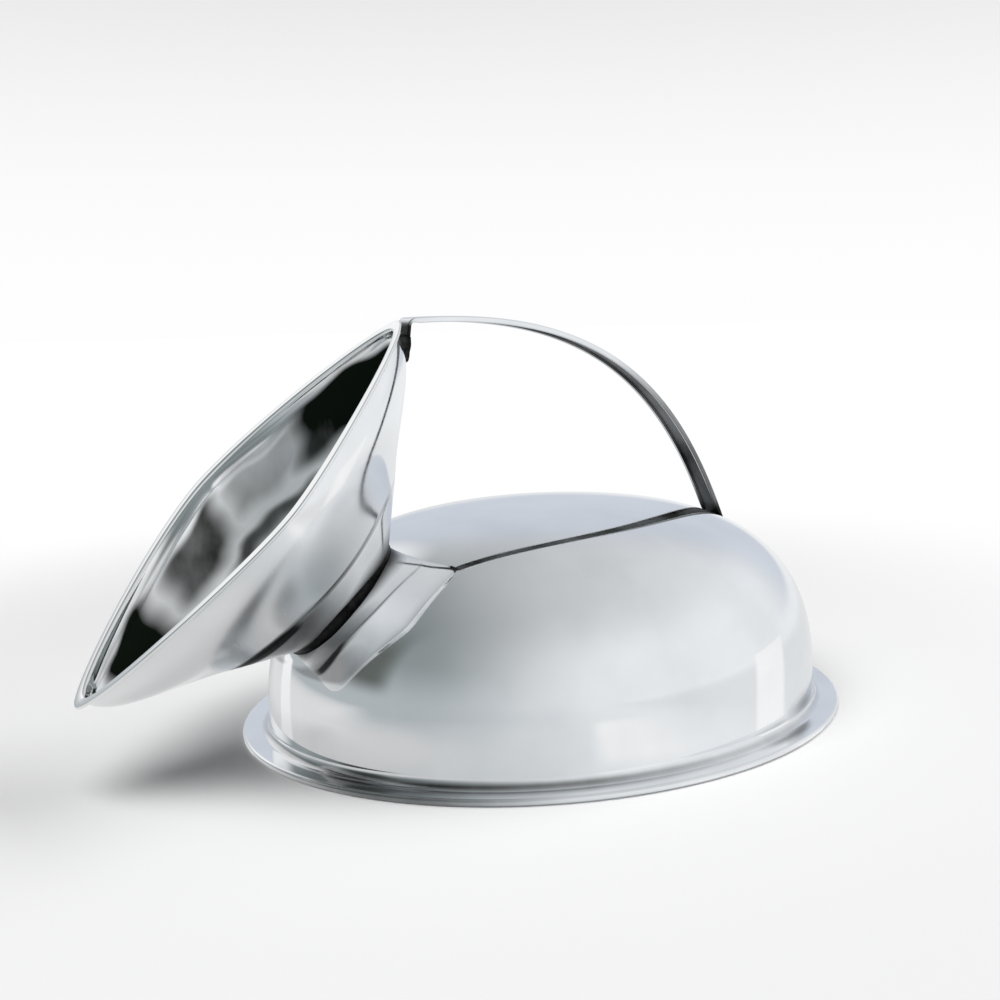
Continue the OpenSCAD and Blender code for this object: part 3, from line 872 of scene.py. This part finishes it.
skin, marks = body_rings()
make_piece("body", skin, body_finish, "body_shell", marks=marks)
skin, marks = rim_rings()
make_piece("rim_bead", skin, rim_finish, "rim_weld", marks=marks)
skin, marks = neck_rings()
make_piece("neck_collar", skin, neck_finish, "neck", marks=marks)
make_piece("neck_bead", neck_weld_rings(), bead_finish, "neck_weld")
skin, marks, inner_row = funnel_rings()
make_piece("funnel_mouth", skin, funnel_finish, "funnel", marks=marks,
           inside=(inner_row, inner_finish))
skin, marks = strap_rings()
make_piece("strap", skin, strap_finish, "handle", closed=False, marks=marks)
make_piece("strap_top_bead", top_weld_rings(), near_black_finish, "handle_top_weld",
           closed=False)
make_piece("strap_foot_bead", foot_weld_rings(), near_black_finish, "handle_foot_weld",
           closed=False)
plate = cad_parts["base_plate"]
plate.data.materials.clear()
plate.data.materials.append(plate_finish)


# Studio

def lay_floor():
    """Square floor just under the base."""
    h = FLOOR_HALF
    mesh = bpy.data.meshes.new("floor")
    mesh.from_pydata([(-h, -h, 0), (h, -h, 0), (h, h, 0), (-h, h, 0)], [], [(0, 1, 2, 3)])
    mesh.materials.append(studio_floor("white_sweep"))
    floor = bpy.data.objects.new("floor", mesh)
    floor.location = (0, 0, -FLOOR_DROP)
    bpy.context.scene.collection.objects.link(floor)


def hang_lamp(name, bearing, height, watts):
    """Square soft box at a bearing and height, aimed at the object; it lights the floor, and the
    metal shows the room instead of it."""
    place = LAMP_DISTANCE * Vector(heading(bearing, height))
    lamp = bpy.data.lights.new(name, "AREA")
    lamp.shape = "SQUARE"
    lamp.size = LAMP_SIZE
    lamp.energy = watts
    holder = bpy.data.objects.new(name, lamp)
    holder.location = place
    aim = Vector((0, 0, LAMP_AIM)) - place
    holder.rotation_euler = aim.to_track_quat("-Z", "Y").to_euler()
    holder.visible_glossy = False
    bpy.context.scene.collection.objects.link(holder)


def light_room():
    """Room round the object: an even level for what it lights, a pale wall that darkens upwards for
    the camera, and the room's tones for the metal."""
    world = bpy.data.worlds.new("room")
    bpy.context.scene.world = world
    world.use_nodes = True
    world.node_tree.nodes.clear()
    shade = Shade(world.node_tree)
    way = shade.node("TexCoord", out="Generated")
    height = way.part("Z")
    camera = shade.node("LightPath", out="Is Camera Ray")
    glossy = shade.node("LightPath", out="Is Glossy Ray")
    clear = shade.node("LightPath", out="Is Transmission Ray")
    pale = (BACKDROP_FALL * height * height).clamp().tint(grey(BACKDROP), grey(0.0))
    seen = camera.tint(room_tone(way), pale)
    level = shade.node("Background", {}, {"Color": grey(ROOM_LEVEL), "Strength": 1.0})
    shown = shade.node("Background", {}, {"Color": seen, "Strength": 1.0})
    share = (camera + glossy + clear).clamp()
    mixed = shade.node("MixShader", {}, {0: share, 1: level, 2: shown})
    shade.node("OutputWorld", {}, {"Surface": mixed})


def set_camera():
    """Camera at the photograph's bearing, distance and height, aimed by yaw, pitch and roll."""
    b, a = np.radians(CAM_BEARING), np.radians(CAM_BEARING + CAM_YAW)
    p, r = np.radians(CAM_PITCH), np.radians(CAM_ROLL)
    ahead = np.array([np.sin(a) * np.cos(p), np.cos(a) * np.cos(p), -np.sin(p)])
    right = np.array([np.cos(a), -np.sin(a), 0.0])
    up = np.cross(right, ahead)
    pose = np.eye(4)
    pose[:3, 0] = np.cos(r) * right + np.sin(r) * up
    pose[:3, 1] = -np.sin(r) * right + np.cos(r) * up
    pose[:3, 2] = -ahead
    pose[:3, 3] = np.array([-CAM_DIST * np.sin(b), -CAM_DIST * np.cos(b), CAM_HEIGHT]) * MM
    lens = bpy.data.cameras.new("camera")
    lens.lens = CAM_LENS
    lens.sensor_width = CAM_SENSOR
    lens.clip_start = CAM_NEAR
    camera = bpy.data.objects.new("camera", lens)
    camera.matrix_world = Matrix(pose.tolist())
    bpy.context.scene.collection.objects.link(camera)
    bpy.context.scene.camera = camera


lay_floor()
for name, settings in LAMPS.items():
    hang_lamp(name, *settings)
light_room()
set_camera()
bpy.context.scene.view_settings.view_transform = "Standard"
